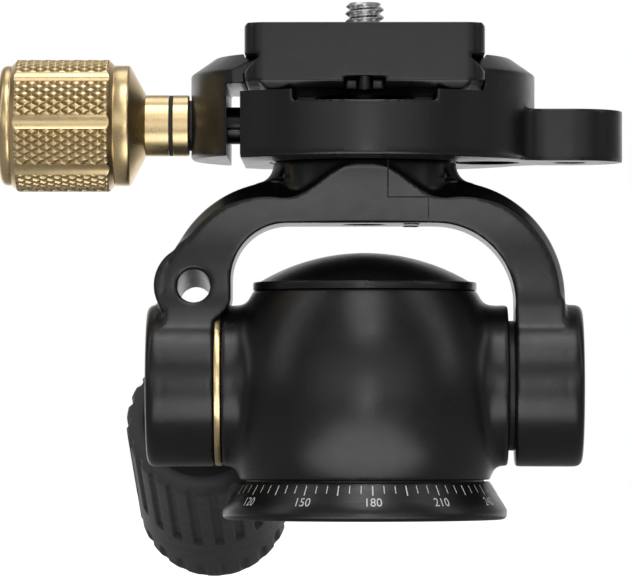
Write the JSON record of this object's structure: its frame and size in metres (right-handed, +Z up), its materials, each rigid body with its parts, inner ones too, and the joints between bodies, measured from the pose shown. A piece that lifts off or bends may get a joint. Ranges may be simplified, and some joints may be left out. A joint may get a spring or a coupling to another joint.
{
  "type": "two-way pan head",
  "caption": "Small two-way pan head: dial base, bulged panning body, tilting yoke with a twist-lock grip handle, and a screw clamp holding a dovetail quick-release plate.",
  "frame": {"origin": "centre of the base's underside, at the mouth of the tripod socket", "axes": "+Z up along the pan axis, +X to the clamp ear's side, -Y the front; the handle points to +Y and down"},
  "size_m": [0.1007, 0.1086, 0.0948],
  "materials": {
    "black_anodised": "satin black anodised",
    "gold_anodised": "satin gold anodised",
    "steel": "turned",
    "bronze": "turned",
    "black_plastic": "matte",
    "black_rubber": "matte moulded"
  },
  "bodies": {
    "base": {"base_plate": "black_anodised", "tripod_bush": "steel", "pan_spindle": "steel", "spindle_screws": "steel", "pan_nut": "steel"},
    "pan_body": {"body_housing": "black_anodised", "pan_bush": "bronze", "thrust_washer": "black_plastic", "disc_spring": "steel", "dome_cap": "black_anodised", "tilt_axle": "steel", "axle_pin": "steel", "axle_nuts": "steel", "drag_ring": "gold_anodised", "friction_washer": "black_plastic"},
    "yoke": {"yoke_main": "black_anodised", "yoke_right_arm": "black_anodised", "lap_screws": "steel", "left_bush": "bronze", "right_bush": "bronze", "left_cover": "black_anodised", "right_cover": "black_anodised", "clamp_base": "black_anodised", "clamp_bolt": "steel", "clamp_dowels": "steel"},
    "jaw": {"clamp_jaw": "black_anodised", "guide_pins": "steel"},
    "knob": {"clamp_knob": "gold_anodised", "jaw_screw": "steel", "knob_band": "black_rubber", "knob_washer": "black_plastic"},
    "plate": {"qr_plate": "black_anodised", "plate_pads": "black_rubber", "stop_screws": "steel"},
    "camera_screw": {"camera_screw": "steel"},
    "plunger": {"brake_plunger": "bronze"},
    "handle": {"handle_stem": "steel", "handle_collar": "steel", "handle_core": "black_plastic", "handle_grip": "black_rubber"}
  },
  "joints": [
    {"name": "pan", "type": "hinge", "parent": "base", "child": "pan_body", "pos_m": [0, 0, 0], "axis": [0, 0, 1], "continuous": true},
    {"name": "tilt", "type": "hinge", "parent": "pan_body", "child": "yoke", "pos_m": [0, 0, 0.0216], "axis": [1, 0, 0], "range_deg": [-12, 75]},
    {"name": "jaw_slide", "type": "slide", "parent": "yoke", "child": "jaw", "axis": [-1, 0, 0], "range_m": [0, 0.003]},
    {"name": "knob_turn", "type": "hinge", "parent": "jaw", "child": "knob", "pos_m": [0, 0, 0.06373], "axis": [-1, 0, 0], "range_deg": [0, 1080]},
    {"name": "plate_slide", "type": "slide", "parent": "yoke", "child": "plate", "axis": [0, 1, 0], "range_m": [-0.006, 0.006]},
    {"name": "camera_screw_turn", "type": "hinge", "parent": "plate", "child": "camera_screw", "pos_m": [0, 0, 0.07873], "axis": [0, 0, 1], "continuous": true},
    {"name": "plunger_slide", "type": "slide", "parent": "yoke", "child": "plunger", "axis": [0.0117, 0.9602, -0.279], "range_m": [0, 0.0004]},
    {"name": "handle_twist", "type": "hinge", "parent": "plunger", "child": "handle", "pos_m": [-0.0271, 0, 0.0216], "axis": [0.0117, 0.9602, -0.279], "range_deg": [0, 180]}
  ],
  "couplings": [
    {"joint": "knob_turn", "follows": "jaw_slide", "rad_per_m": 6283.2},
    {"joint": "handle_twist", "follows": "plunger_slide", "rad_per_m": 7854}
  ]
}
